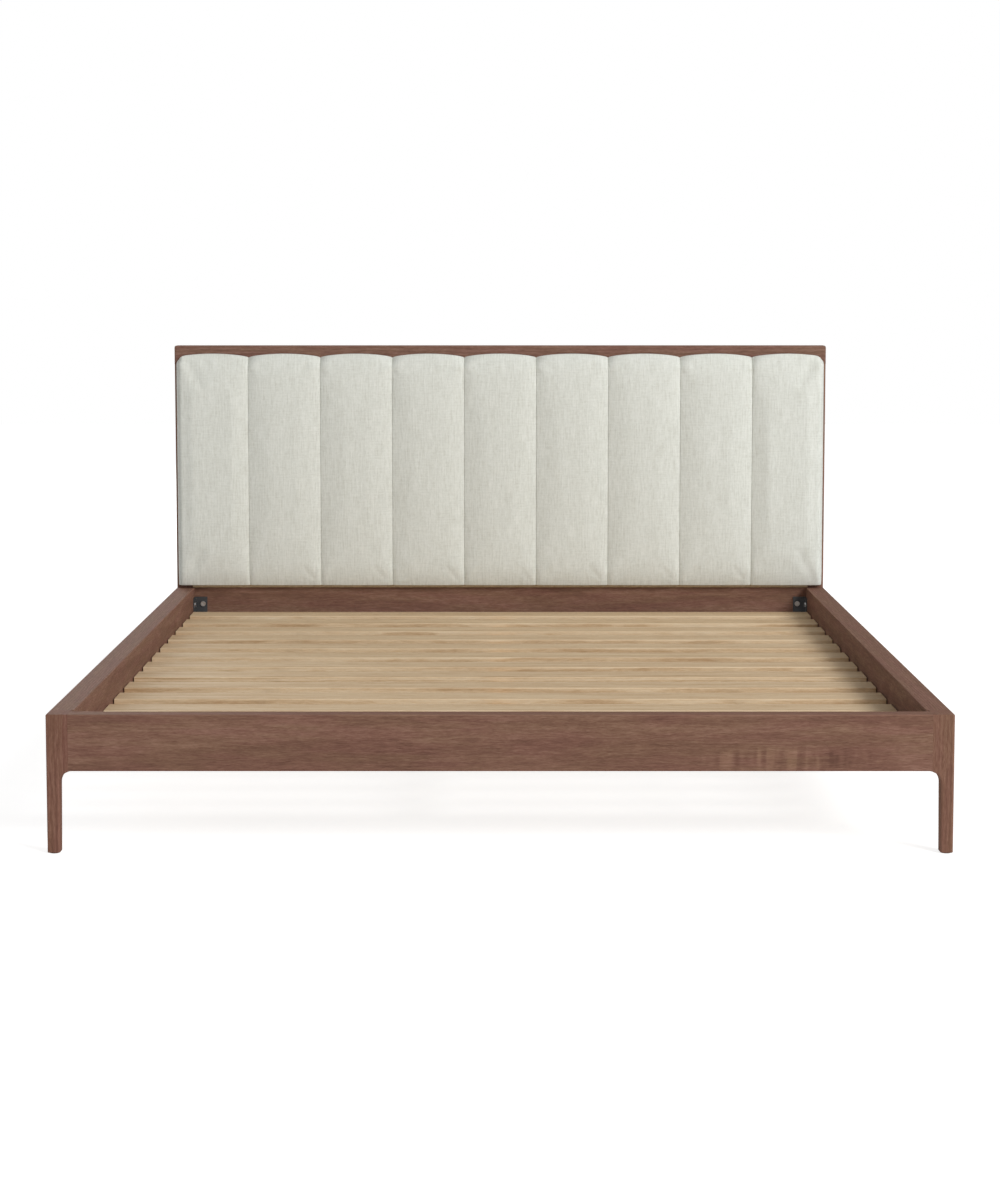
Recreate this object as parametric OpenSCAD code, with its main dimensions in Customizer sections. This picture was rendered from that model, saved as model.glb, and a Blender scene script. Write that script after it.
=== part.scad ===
// Platform bed frame: walnut rails on four slim legs, a slatted deck, and a
// headboard with upright padded channels. The foot end faces -Y, the head end
// +Y, and the floor is z = 0 at the centre of the footprint.

/* [Mattress space] */
// Width of the mattress that the frame takes
mattress_w = 1930; // [1370:1:2000]
// Length of the mattress that the frame takes
mattress_l = 2030; // [1880:1:2130]
// Free space on each side of the mattress
side_gap = 9; // [4:1:20]
// Free space at the foot of the mattress
end_gap = 13; // [5:1:30]
// Height from the slats up to the top of the rails
recess = 70; // [40:1:90]

/* [Rails] */
// Height of the underside of the rails above the floor
rail_bottom = 190; // [160:1:260]
// Height of the side rails and the foot rail
rail_h = 130; // [120:1:180]
// Thickness of a side rail
side_rail_t = 56; // [50:1:70]
// Thickness of the foot rail
foot_rail_t = 42; // [38:1:50]
// Rounding of the rails' long edges
edge_r = 2.5; // [2:0.5:8]

/* [Posts and legs] */
// Width of a corner post across the bed
post_w = 50; // [44:1:51]
// Depth of a front corner post along the bed
post_d = 56; // [52:1:70]
// Width and depth of a leg below the curved shoulder
leg_w = 30.5; // [26:0.5:38]
// How much narrower a leg is at the floor
leg_taper = 1.5; // [0:0.5:6]
// Height of the curved shoulder between leg and rail
shoulder_h = 28; // [20:1:70]
// How far the shoulder's curve runs on into an end rail
shoulder_reach = 8; // [2:1:20]
// Diameter of the glide under a leg
glide_d = 24; // [16:1:25]
// Thickness of the glide under a leg
glide_h = 2; // [1.5:0.5:5]

/* [Headboard] */
// Height of the headboard's top edge above the floor
head_h = 1090; // [850:1:1400]
// Thickness of the headboard's wooden frame
head_t = 40; // [38:1:50]
// Height of the headboard's top rail
top_rail_h = 58; // [50:1:80]
// Rounding of the headboard's top corners
head_corner_r = 6; // [3:0.5:12]
// Thickness of the backer panel behind the pads
core_t = 12; // [9:1:15]
// Thickness of the panel that closes the back
back_t = 6; // [4:1:8]
// How far the back panel sits in from the back
back_inset = 2; // [0:0.5:4]
// Width of an upright batten between the panels
batten_w = 60; // [40:1:80]
// Number of upright battens
batten_n = 4; // [3:1:6]

/* [Channel pads] */
// Number of padded channels
pad_n = 9; // [7:1:13]
// Depth of a pad at its crown
pad_d = 50; // [35:1:70]
// How far the pad falls back from crown to seam
pad_crown = 16; // [10:1:30]
// Wood left bare beside the outer pads
pad_side_margin = 8; // [4:1:30]
// Wood left bare above the crown of the pads
pad_top_margin = 24.5; // [10:0.5:40]
// Rounding of a pad's front face into its top and bottom
pad_roll = 28; // [10:1:32]
// Rise of a pad's top from its seams to its middle
pad_arch = 10; // [4:1:20]
// Gap between the pads and the top of the rails
pad_foot_gap = 10; // [5:1:40]
// Rounding of the padded field's top corners
pad_corner_r = 30; // [10:1:45]
// Space left between neighbouring pads
seam_gap = 0.6; // [0.4:0.1:2]

/* [Deck] */
// Number of slats
slat_n = 13; // [10:1:16]
// Width of a slat
slat_w = 90; // [60:1:100]
// Thickness of a slat
slat_t = 18; // [15:1:22]
// Distance from each end of the deck space to the first slat
slat_setback = 60; // [50:1:90]
// Width of a webbing strap
strap_w = 25; // [15:1:40]
// Thickness of a webbing strap
strap_t = 1.2; // [1:0.1:2]
// Distance of a strap from the middle of the bed
strap_x = 600; // [300:1:640]
// Width of a ledger strip
ledger_w = 25; // [20:1:35]
// Height of a ledger strip
ledger_h = 35; // [25:1:40]

/* [Centre support] */
// Width of the centre beam
beam_w = 60; // [45:1:80]
// Height of the centre beam
beam_h = 38; // [35:1:42]
// Width and depth of a centre leg
centre_leg_w = 45; // [40:1:60]
// Number of centre legs
centre_leg_n = 2; // [1:1:2]
// Distance from the foot rail to the first centre leg
centre_leg_setback = 968; // [900:1:1000]
// Distance between the centre legs
centre_leg_pitch = 600; // [400:1:650]
// Thickness of a beam hanger's plates
hanger_t = 2; // [1.5:0.5:3]
// How far a hanger holds the beam
hanger_reach = 40; // [30:1:60]
// Height of a hanger's side cheeks
hanger_cheek_h = 30; // [20:1:34]
// Width of a hanger's screw flange
hanger_flange_w = 22; // [18:1:30]

/* [Levelling feet] */
// Diameter of a levelling foot's base
foot_d = 36; // [28:1:44]
// Height of a levelling foot's base
foot_h = 8; // [6:1:12]
// Diameter of the threaded stud
stud_d = 8; // [6:1:10]
// How far a foot can be screwed up from its resting place
foot_up = 4; // [2:1:8]
// How far a foot can be screwed down from its resting place
foot_down = 12; // [6:1:14]
// Air left between base and insert when the foot is fully up
foot_air = 8.5; // [4:0.5:15]
// Length of the threaded insert
insert_l = 20; // [18:1:30]
// Outer diameter of the threaded insert
insert_d = 12; // [11:1:14]
// Diameter of the insert's flange
insert_flange_d = 18; // [16:1:24]
// Thickness of the insert's flange
insert_flange_t = 1.5; // [1:0.5:2]

/* [Hardware] */
// Length of a corner bracket's arms
bracket_arm = 40; // [34:1:44]
// Height of a corner bracket
bracket_h = 90; // [70:1:100]
// How far the corner brackets sit below the rails' middle
bracket_drop = 10; // [0:1:15]
// Thickness of a corner bracket
bracket_t = 3; // [2:0.5:4]
// Diameter of a bracket bolt
bolt_d = 8; // [6:1:8]
// Length of a bracket bolt below its head
bolt_l = 33; // [25:1:34]
// Diameter of a bolt head
bolt_head_d = 16; // [12:1:18]
// Height of a bolt head
bolt_head_h = 4; // [3:0.5:6]
// Diameter of a dowel
dowel_d = 10; // [8:1:10]
// Length of a tenon
tenon_l = 30; // [20:1:34]
// Thickness of a tenon
tenon_t = 16; // [12:1:16]
// Height of a tenon
tenon_h = 90; // [60:1:100]
// Diameter of a wood screw
screw_d = 4; // [3:0.5:5]
// Diameter of a wood screw's head
screw_head_d = 8; // [7:0.5:9]

/* [Fits] */
// Free space around a tenon or dowel in its hole
joint_fit = 0.2; // [0.1:0.1:0.5]
// Free space around a bolt or screw in its hole
bolt_fit = 0.25; // [0.1:0.05:0.5]
// Radial running clearance of a levelling stud
run_fit = 0.05; // [0.02:0.01:0.1]
// Space between fabric and what it rests on
soft_gap = 0.3; // [0.2:0.1:0.6]
// Space between a slat or beam end and the rail beside it
end_fit = 3; // [1:0.5:5]

/* [Hidden] */
SIDES = ["left", "right"];
$fn = 48;

// overall places
inner_w = mattress_w + 2 * side_gap;
inner_l = mattress_l + end_gap + pad_d;
half_in = inner_w / 2;
half_out = half_in + side_rail_t;
total_l = foot_rail_t + inner_l + head_t;
y_foot = -total_l / 2;
y_head = total_l / 2;
y_in_foot = y_foot + foot_rail_t;
y_in_head = y_head - head_t;
y_post_back = y_foot + post_d;
rail_top = rail_bottom + rail_h;
slat_top = rail_top - recess;
deck_z = slat_top - slat_t;
top_rail_z = head_h - top_rail_h;

// posts and their joints
shoulder_steps = 10;
post_x = half_out - post_w / 2;
tenon_z = rail_bottom + (rail_h - tenon_h) / 2;
mortise_wall = 5;
tenon_y_foot = y_foot + (foot_rail_t - tenon_t) / 2;
tenon_y_head = y_head - mortise_wall - tenon_t;
rail_dowel_in_post = 14;
rail_dowel_in_rail = 26;
top_dowel_half = 30;
leg_dowel_half = 20;
hole_end = 1;

// headboard
core_y = y_in_head;
back_y = y_head - back_inset - back_t;
batten_t = back_y - core_y - core_t;
panel_w = 2 * (half_out - post_w);
batten_pitch = (panel_w - batten_w) / (batten_n - 1);
back_screw_l = 16;
back_screw_head_h = 1.5;
back_screw_rows = 3;
back_screw_margin = 40;

// pads
pad_field_w = 2 * (half_out - pad_side_margin);
pad_pitch = pad_field_w / pad_n;
pad_w = pad_pitch - seam_gap;
pad_z = rail_top + pad_foot_gap;
pad_top = head_h - pad_top_margin;
pad_back_y = y_in_head - soft_gap;
pad_front_y = y_in_head - pad_d;
pad_fn = 240;

// deck
slat_l = inner_w - 2 * end_fit;
slat_pitch = (inner_l - 2 * slat_setback - slat_w) / (slat_n - 1);
ledger_gap = 5;
ledger_y = y_in_foot + bracket_arm + ledger_gap;
ledger_l = inner_l - 2 * (bracket_arm + ledger_gap);
ledger_screw_n = 8;
ledger_screw_l = 50;
ledger_screw_margin = 60;

// centre support
beam_z = deck_z - beam_h;
beam_l = inner_l - 2 * (hanger_t + end_fit);
hanger_gap = 0.5;
hanger_half = beam_w / 2 + hanger_gap + hanger_t;
hanger_screw_l = 20;
hanger_screw_inset = 9;
leg_bottom = foot_h + foot_up + foot_air + insert_flange_t;
stud_over = foot_down - 4;
stud_l = leg_bottom - foot_h + insert_l + stud_over;
stud_room_d = stud_d + 1;
stud_room_over = stud_over + foot_up + 8;

// corner hardware
bracket_z = rail_bottom + (rail_h - bracket_h) / 2 - bracket_drop;
bolt_out = bracket_arm - bolt_head_d / 2 - 5;
bolt_inset_z = 22;
rail_dowel_zs = [bracket_z + bracket_h / 2, bracket_z + bracket_h + 8];
tip_l = 4;

function side_sign(name) = name == "left" ? -1 : 1;
function arc_r(chord, rise) = (chord * chord / 4 + rise * rise) / (2 * rise);
function leg_y(i) = y_in_foot + centre_leg_setback + (i - 1) * centre_leg_pitch;
function slat_y(i) = y_in_foot + slat_setback + (i - 1) * slat_pitch;
function pad_x(i) = (i - (pad_n + 1) / 2) * pad_pitch;

// the shoulder is a quarter ellipse from the leg, a = 0, to the rail's underside, a = 90
function shoulder(w, reach, a) = [
    leg_w + (w + reach - leg_w) * (1 - cos(a)),
    rail_bottom - shoulder_h * (1 - sin(a))
];
// where on that curve the post ends and the rail begins
function joint_a(w, reach) = acos(1 - (w - leg_w) / (w + reach - leg_w));

// a rectangle from the origin with all four corners rounded by true arcs
module round_rect(w, h, r) {
    translate([r, 0]) square([w - 2 * r, h]);
    translate([0, r]) square([w, h - 2 * r]);
    for (x = [r, w - r]) for (y = [r, h - r]) translate([x, y]) circle(r = r);
}

// a rectangle from the origin with only its two upper corners rounded
module top_round_rect(w, h, r) {
    square([w, h - r]);
    translate([r, 0]) square([w - 2 * r, h]);
    for (x = [r, w - r]) translate([x, h - r]) circle(r = r);
}

// stands a profile drawn in x and z upright, from y = 0 to y = depth
module upright(depth) {
    translate([0, depth, 0]) rotate([90, 0, 0]) linear_extrude(height = depth) children();
}

// lays a profile drawn in y and z along x, from x = 0 to x = length
module along_x(length) {
    rotate([90, 0, 90]) linear_extrude(height = length) children();
}

// a round hole, shank or dowel along +Z
module rod(d, length) {
    cylinder(d = d, h = length);
}

// wood screw pointing along +Z with its head flush at z = 0
module wood_screw(length, grow) {
    head_h = (screw_head_d - screw_d) / 2;
    rotate_extrude() polygon([
        [0, 0],
        [screw_head_d / 2 + grow, 0],
        [screw_d / 2 + grow, head_h],
        [screw_d / 2 + grow, length - tip_l + grow],
        [0, length + grow]
    ]);
}

// leg outline seen from one side: full width above, curved shoulder, slim foot
module leg_outline(w, reach, top) {
    end = joint_a(w, reach);
    curve = [for (k = [0 : shoulder_steps]) shoulder(w, reach, end * k / shoulder_steps)];
    polygon(concat([[0, glide_h], [leg_w - leg_taper, glide_h]], curve, [[w, top], [0, top]]));
}

// post with its leg, outer corner at the origin, bed towards +X and +Y
module post_blank(d, top) {
    intersection() {
        linear_extrude(height = top) round_rect(post_w, d, edge_r);
        upright(d) leg_outline(post_w, shoulder_reach, top);
        along_x(post_w) leg_outline(d, 0, top);
    }
}

// end rail between the posts, its underside flowing into both shoulders
module end_rail(y, t) {
    start = joint_a(post_w, shoulder_reach);
    toe = [for (k = [0 : shoulder_steps])
        shoulder(post_w, shoulder_reach, start + (90 - start) * k / shoulder_steps)];
    drop = rail_bottom - toe[0][1];
    translate([-panel_w / 2, y, rail_bottom]) along_x(panel_w) round_rect(t, rail_h, edge_r);
    for (s = [-1, 1]) mirror([s > 0 ? 1 : 0, 0, 0]) intersection() {
        translate([-half_out, y, 0]) upright(t) polygon(concat(toe,
            [for (x = [post_w + shoulder_reach, post_w]) [x, rail_bottom + edge_r]]));
        translate([-half_out, y, rail_bottom - drop]) along_x(2 * post_w) round_rect(t, rail_h, edge_r);
    }
}

// places a child drawn for the left foot corner at any of the four corners
module at_corner(x_sign, y_sign) {
    translate([x_sign * half_out, y_sign * total_l / 2, 0])
        mirror([x_sign > 0 ? 1 : 0, 0, 0])
        mirror([0, y_sign > 0 ? 1 : 0, 0]) children();
}

// tenon of an end rail, pointing along +X from the rail's end at the origin
module tenon(y, grow) {
    translate([-grow, y - grow, tenon_z - grow])
        cube([tenon_l + 2 * grow, tenon_t + 2 * grow, tenon_h + 2 * grow]);
}

// both tenons of an end rail or, grown, the mortises that take them
module tenon_pair(y, grow) {
    for (s = [-1, 1]) mirror([s < 0 ? 1 : 0, 0, 0])
        translate([half_out - post_w, 0, 0]) tenon(y, grow);
}

// dowels between side rails and posts, grown for their holes
module rail_dowels(grow, extra) {
    length = rail_dowel_in_post + rail_dowel_in_rail + 2 * extra;
    for (s = [-1, 1]) for (z = rail_dowel_zs)
        for (y = [y_post_back - rail_dowel_in_post, y_in_head - rail_dowel_in_rail])
            translate([s * post_x, y - extra, z]) rotate([-90, 0, 0]) rod(dowel_d + 2 * grow, length);
}

// dowels between the rear posts and the headboard's top rail
module top_dowels(grow, extra) {
    for (s = [-1, 1])
        translate([s * post_x, y_in_head + head_t / 2, top_rail_z - top_dowel_half - extra])
            rod(dowel_d + 2 * grow, 2 * (top_dowel_half + extra));
}

// dowels between the centre legs and the beam
module leg_dowels(grow, extra) {
    for (i = [1 : centre_leg_n])
        translate([0, leg_y(i), beam_z - leg_dowel_half - extra])
            rod(dowel_d + 2 * grow, 2 * (leg_dowel_half + extra));
}

// the two bolt positions on each arm of all four brackets, pointing outwards
module at_bracket_bolts() {
    for (x_sign = [-1, 1]) for (y_sign = [-1, 1])
        translate([x_sign * half_in, y_sign < 0 ? y_in_foot : y_in_head, 0])
            mirror([x_sign > 0 ? 1 : 0, 0, 0]) mirror([0, y_sign > 0 ? 1 : 0, 0])
            for (z = [bracket_z + bolt_inset_z, bracket_z + bracket_h - bolt_inset_z]) {
                translate([bracket_t, bolt_out, z]) rotate([0, -90, 0]) children();
                translate([bolt_out, bracket_t, z]) rotate([90, 0, 0]) children();
            }
}

// bolt along +Z with its head behind z = 0 and a hex socket in the head
module bolt() {
    difference() {
        union() {
            translate([0, 0, -bolt_head_h]) rod(bolt_head_d, bolt_head_h);
            rod(bolt_d, bolt_l + bracket_t);
        }
        translate([0, 0, -bolt_head_h - 1]) cylinder(d = bolt_d * 0.6, h = bolt_head_h * 0.6 + 1, $fn = 6);
    }
}

module bolt_holes() {
    at_bracket_bolts() rod(bolt_d + 2 * bolt_fit, bolt_l + bracket_t + hole_end);
}

// screws that hold the ledgers to the side rails
module at_ledger_screws() {
    pitch = (ledger_l - 2 * ledger_screw_margin) / (ledger_screw_n - 1);
    for (s = [-1, 1]) for (k = [0 : ledger_screw_n - 1])
        translate([
            s * (half_in - ledger_w),
            ledger_y + ledger_screw_margin + k * pitch,
            deck_z - ledger_h / 2
        ]) rotate([0, s * 90, 0]) children();
}

// screws that hold the beam hangers to the end rails
module at_hanger_screws() {
    for (y_sign = [-1, 1])
        translate([0, y_sign < 0 ? y_in_foot : y_in_head, beam_z - hanger_t])
            mirror([0, y_sign > 0 ? 1 : 0, 0])
            for (s = [-1, 1]) for (z = [hanger_screw_inset, hanger_t + beam_h - hanger_screw_inset])
                translate([s * (hanger_half + hanger_flange_w / 2), hanger_t, z])
                    rotate([90, 0, 0]) children();
}

// screws that hold the back panel to the battens, heads on the panel's back
module at_back_screws() {
    span = top_rail_z - rail_top - 2 * back_screw_margin;
    for (b = [0 : batten_n - 1]) for (k = [0 : back_screw_rows - 1])
        translate([
            -panel_w / 2 + batten_w / 2 + b * batten_pitch,
            back_y + back_t,
            rail_top + back_screw_margin + k * span / (back_screw_rows - 1)
        ]) rotate([90, 0, 0]) children();
}

module back_screw() {
    translate([0, 0, -back_screw_head_h]) rod(screw_head_d, back_screw_head_h);
    rod(screw_d, back_screw_l);
}

module front_post(side) {
    color("sienna") difference() {
        at_corner(side_sign(side), -1) intersection() {
            post_blank(post_d, rail_top);
            along_x(post_w) top_round_rect(post_d, rail_top, edge_r);
            upright(post_d) top_round_rect(2 * post_w, rail_top, edge_r);
        }
        tenon_pair(tenon_y_foot, joint_fit);
        rail_dowels(joint_fit, hole_end);
    }
}

module rear_post(side) {
    color("sienna") difference() {
        at_corner(side_sign(side), 1) post_blank(head_t, top_rail_z);
        tenon_pair(tenon_y_head, joint_fit);
        rail_dowels(joint_fit, hole_end);
        top_dowels(joint_fit, hole_end);
    }
}

module foot_rail() {
    color("sienna") difference() {
        union() {
            end_rail(y_foot, foot_rail_t);
            tenon_pair(tenon_y_foot, 0);
        }
        bolt_holes();
        at_hanger_screws() rod(screw_d + 2 * bolt_fit, hanger_screw_l + hole_end);
    }
}

// the lip at the foot end laps past the post and meets the foot rail
module side_rail(side) {
    s = side_sign(side);
    lip_t = side_rail_t - post_w;
    color("sienna") difference() {
        union() {
            translate([s * (half_out - side_rail_t / 2) - side_rail_t / 2, y_post_back, rail_bottom])
                translate([0, y_in_head - y_post_back, 0]) rotate([90, 0, 0])
                linear_extrude(height = y_in_head - y_post_back) round_rect(side_rail_t, rail_h, edge_r);
            translate([s * (half_in + lip_t / 2) - lip_t / 2, y_in_foot, rail_bottom + edge_r])
                cube([lip_t, y_post_back - y_in_foot + edge_r, rail_h - 2 * edge_r]);
        }
        rail_dowels(joint_fit, hole_end);
        bolt_holes();
        at_ledger_screws() wood_screw(ledger_screw_l, bolt_fit);
    }
}

module head_top_rail() {
    color("sienna") difference() {
        intersection() {
            translate([-half_out, y_in_head, top_rail_z])
                upright(head_t) top_round_rect(2 * half_out, top_rail_h, head_corner_r);
            translate([-half_out, y_in_head, top_rail_z])
                along_x(2 * half_out) top_round_rect(head_t, top_rail_h, edge_r);
        }
        top_dowels(joint_fit, hole_end);
    }
}

module head_bottom_rail() {
    color("sienna") difference() {
        union() {
            end_rail(y_in_head, head_t);
            tenon_pair(tenon_y_head, 0);
        }
        bolt_holes();
        at_hanger_screws() rod(screw_d + 2 * bolt_fit, hanger_screw_l + hole_end);
    }
}

module head_core_panel() {
    color("tan")
        translate([-panel_w / 2, core_y, rail_top]) cube([panel_w, core_t, top_rail_z - rail_top]);
}

module head_battens() {
    color("burlywood") difference() {
        for (b = [0 : batten_n - 1])
            translate([-panel_w / 2 + b * batten_pitch, core_y + core_t, rail_top])
                cube([batten_w, batten_t, top_rail_z - rail_top]);
        at_back_screws() rod(screw_d + 2 * bolt_fit, back_screw_l + hole_end);
    }
}

module head_back_panel() {
    color("sienna") difference() {
        translate([-panel_w / 2, back_y, rail_top]) cube([panel_w, back_t, top_rail_z - rail_top]);
        at_back_screws() rod(screw_d + 2 * bolt_fit, back_screw_l + hole_end);
    }
}

// one padded channel: bowed front that rolls over at its ends, arched top,
// outer top corners rounded
module channel_pad(i) {
    front_r = arc_r(pad_w, pad_crown);
    top_r = arc_r(pad_w, pad_arch);
    color("beige") intersection() {
        translate([pad_x(i), 0, pad_z]) linear_extrude(height = pad_top - pad_z) intersection() {
            translate([-pad_w / 2, pad_front_y]) square([pad_w, pad_back_y - pad_front_y]);
            translate([0, pad_front_y + front_r]) circle(r = front_r, $fn = pad_fn * 4);
        }
        translate([pad_x(i), pad_front_y - 1, 0]) upright(pad_d + 2) intersection() {
            translate([-pad_w / 2, pad_z]) square([pad_w, pad_top - pad_z]);
            translate([0, pad_top - top_r]) circle(r = top_r, $fn = pad_fn * 4);
        }
        translate([-pad_field_w / 2, pad_front_y, 0])
            upright(pad_d) top_round_rect(pad_field_w, pad_top, pad_corner_r);
        translate([-pad_field_w / 2, pad_front_y, pad_z])
            along_x(pad_field_w) round_rect(2 * pad_d, pad_top - pad_z, pad_roll);
    }
}

module ledger(side) {
    s = side_sign(side);
    color("burlywood") difference() {
        translate([s * (half_in - ledger_w / 2) - ledger_w / 2, ledger_y, deck_z - ledger_h])
            cube([ledger_w, ledger_l, ledger_h]);
        at_ledger_screws() wood_screw(ledger_screw_l, bolt_fit);
    }
}

module centre_beam() {
    color("burlywood") difference() {
        translate([-beam_w / 2, y_in_foot + hanger_t + end_fit, beam_z]) cube([beam_w, beam_l, beam_h]);
        leg_dowels(joint_fit, hole_end);
    }
}

// steel shoe on an end rail that carries one end of the beam
module beam_hanger(end) {
    plate_w = 2 * (hanger_half + hanger_flange_w);
    color("silver") difference() {
        translate([0, end == "foot" ? y_in_foot : y_in_head, beam_z - hanger_t])
            mirror([0, end == "foot" ? 0 : 1, 0]) union() {
                translate([-plate_w / 2, 0, 0]) cube([plate_w, hanger_t, hanger_t + beam_h]);
                translate([-hanger_half, 0, 0]) cube([2 * hanger_half, hanger_reach, hanger_t]);
                for (s = [-1, 1]) translate([s * (hanger_half - hanger_t / 2) - hanger_t / 2, 0, 0])
                    cube([hanger_t, hanger_reach, hanger_t + hanger_cheek_h]);
            }
        at_hanger_screws() translate([0, 0, -hole_end])
            rod(screw_d + 2 * bolt_fit, hanger_t + 2 * hole_end);
    }
}

module centre_leg(i) {
    color("burlywood") difference() {
        translate([-centre_leg_w / 2, leg_y(i) - centre_leg_w / 2, leg_bottom])
            cube([centre_leg_w, centre_leg_w, beam_z - leg_bottom]);
        leg_dowels(joint_fit, hole_end);
        translate([0, leg_y(i), leg_bottom - hole_end])
            rod(insert_d + 2 * joint_fit, insert_l + hole_end);
        translate([0, leg_y(i), leg_bottom]) rod(stud_room_d, insert_l + stud_room_over);
    }
}

module leg_inserts() {
    color("silver") for (i = [1 : centre_leg_n]) translate([0, leg_y(i), leg_bottom]) difference() {
        union() {
            rod(insert_d, insert_l);
            translate([0, 0, -insert_flange_t]) rod(insert_flange_d, insert_flange_t);
        }
        translate([0, 0, -insert_flange_t - hole_end])
            rod(stud_d + 2 * run_fit, insert_l + insert_flange_t + 2 * hole_end);
    }
}

// base and stud turned as one piece, the base's rim bevelled
module levelling_foot(i) {
    rim = 2;
    color("dimgray") translate([0, leg_y(i), 0]) rotate_extrude() polygon([
        [0, 0],
        [foot_d / 2 - rim / 2, 0],
        [foot_d / 2, rim / 2],
        [foot_d / 2, foot_h / 2],
        [foot_d / 2 - rim, foot_h],
        [stud_d / 2, foot_h],
        [stud_d / 2, foot_h + stud_l - 1],
        [stud_d / 2 - 1, foot_h + stud_l],
        [0, foot_h + stud_l]
    ]);
}

module bracket(end, side) {
    x_sign = side_sign(side);
    y_sign = end == "foot" ? -1 : 1;
    color("dimgray") difference() {
        translate([x_sign * half_in, end == "foot" ? y_in_foot : y_in_head, bracket_z])
            mirror([x_sign > 0 ? 1 : 0, 0, 0]) mirror([0, y_sign > 0 ? 1 : 0, 0]) union() {
                cube([bracket_arm, bracket_t, bracket_h]);
                cube([bracket_t, bracket_arm, bracket_h]);
            }
        at_bracket_bolts() translate([0, 0, -hole_end])
            rod(bolt_d + 2 * bolt_fit, bracket_t + 2 * hole_end);
    }
}

// flat pad under a leg, centred on the leg's foot
module glide(end, side) {
    foot_mid = (leg_w - leg_taper) / 2;
    lip = 0.5;
    color("black") at_corner(side_sign(side), end == "foot" ? -1 : 1)
        translate([foot_mid, foot_mid, 0]) rotate_extrude() polygon([
            [0, 0],
            [glide_d / 2 - lip, 0],
            [glide_d / 2, lip],
            [glide_d / 2, glide_h],
            [0, glide_h]
        ]);
}

module slat(i) {
    color("wheat") translate([-slat_l / 2, slat_y(i), deck_z]) cube([slat_l, slat_w, slat_t]);
}

module slat_strap(side) {
    color("black") translate([side_sign(side) * strap_x - strap_w / 2, slat_y(1), deck_z - strap_t])
        cube([strap_w, slat_y(slat_n) + slat_w - slat_y(1), strap_t]);
}

module dowels() {
    color("tan") {
        rail_dowels(0, 0);
        top_dowels(0, 0);
        leg_dowels(0, 0);
    }
}

front_post("left");  // front_post_left
front_post("right");  // front_post_right
rear_post("left");  // rear_post_left
rear_post("right");  // rear_post_right
foot_rail();
for (s = SIDES) side_rail(s);
head_top_rail();
head_bottom_rail();
head_core_panel();
head_back_panel();
head_battens();
for (i = [1 : pad_n]) channel_pad(i);
for (s = SIDES) ledger(s);
centre_beam();
beam_hanger("foot");  // beam_hanger_foot
beam_hanger("head");  // beam_hanger_head
for (i = [1 : centre_leg_n]) centre_leg(i);
for (i = [1 : centre_leg_n]) levelling_foot(i);
leg_inserts();
for (e = ["foot", "head"]) for (s = SIDES)
    bracket(e, s);
for (e = ["foot", "head"]) for (s = SIDES)
    glide(e, s);
for (i = [1 : slat_n]) slat(i);
for (s = SIDES) slat_strap(s);
dowels();
color("silver") at_bracket_bolts() bolt();  // corner_bolts
color("silver") at_hanger_screws() {  // hanger_screws
    translate([0, 0, -back_screw_head_h]) rod(screw_head_d, back_screw_head_h);
    rod(screw_d, hanger_screw_l);
}
color("silver")  // ledger_screws
    at_ledger_screws() wood_screw(ledger_screw_l, 0);
color("silver") at_back_screws() back_screw();  // back_panel_screws
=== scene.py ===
"""Looks of the walnut platform bed with a channel headboard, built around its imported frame.

Everything is in metres in the frame's own axes: +X right, +Y to the headboard, +Z up.
"""

import math
import random

import bmesh
import bpy
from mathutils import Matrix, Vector, noise


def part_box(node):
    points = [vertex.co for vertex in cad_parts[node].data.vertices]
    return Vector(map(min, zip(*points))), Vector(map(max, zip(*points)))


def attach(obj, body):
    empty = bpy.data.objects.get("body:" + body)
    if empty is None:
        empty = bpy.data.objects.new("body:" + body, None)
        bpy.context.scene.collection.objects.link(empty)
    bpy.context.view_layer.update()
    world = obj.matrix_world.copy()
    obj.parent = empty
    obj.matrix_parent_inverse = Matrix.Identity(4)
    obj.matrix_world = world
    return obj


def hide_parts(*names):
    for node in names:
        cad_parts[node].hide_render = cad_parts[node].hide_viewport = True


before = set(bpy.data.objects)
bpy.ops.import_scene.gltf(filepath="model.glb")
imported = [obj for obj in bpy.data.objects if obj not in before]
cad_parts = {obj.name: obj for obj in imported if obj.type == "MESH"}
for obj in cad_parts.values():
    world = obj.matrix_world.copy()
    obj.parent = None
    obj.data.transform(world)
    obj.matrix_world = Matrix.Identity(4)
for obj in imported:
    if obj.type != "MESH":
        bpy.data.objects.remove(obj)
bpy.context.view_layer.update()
ROOT = "bed_frame"
MM = 0.001

# sizes that the frame's boxes don't give
LEG = 30.5 * MM  # side of the square leg under its shoulder
LEG_TAPER = 1.5 * MM  # what the leg loses on its way down
SHOULDER_H = 28 * MM
SHOULDER_REACH = 8 * MM  # how far the shoulder's curve runs on under the rail
FOOT_EDGE = 1.4 * MM  # round edge at the leg's end
UPRIGHT_EDGE = 5 * MM  # long edges of posts and legs
INNER_EDGE = 1.5 * MM  # the leg's long edge that looks into the bed
JOINT_FADE = 10 * MM  # height over which an edge turns sharp below the rail
JOINT_FADE_FROM = 1.2  # how many JOINT_FADE below the rail that begins
EDGE = 2.5 * MM  # long edges of the boards
TOP_CORNER = 6 * MM  # outer corners of the headboard's top rail
LIP_SHARE = 0.94  # share of the rail's extra thickness that runs on past the front post
EASED = 0.07 * MM  # edges that look sharp
LEAST_EDGE = 0.2 * MM  # what a long edge keeps at a board's end
WORN_AND_HIGHLIT_FROM = 2 * MM  # smaller edges than this show no wear and no painted highlight
HAIRLINE = 0.02 * MM  # keeps two faces apart
ARC = (0, 22, 45, 67, 90)  # degrees of the steps round a post's end


# ---------------------------------------------------------------- meshes


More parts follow.
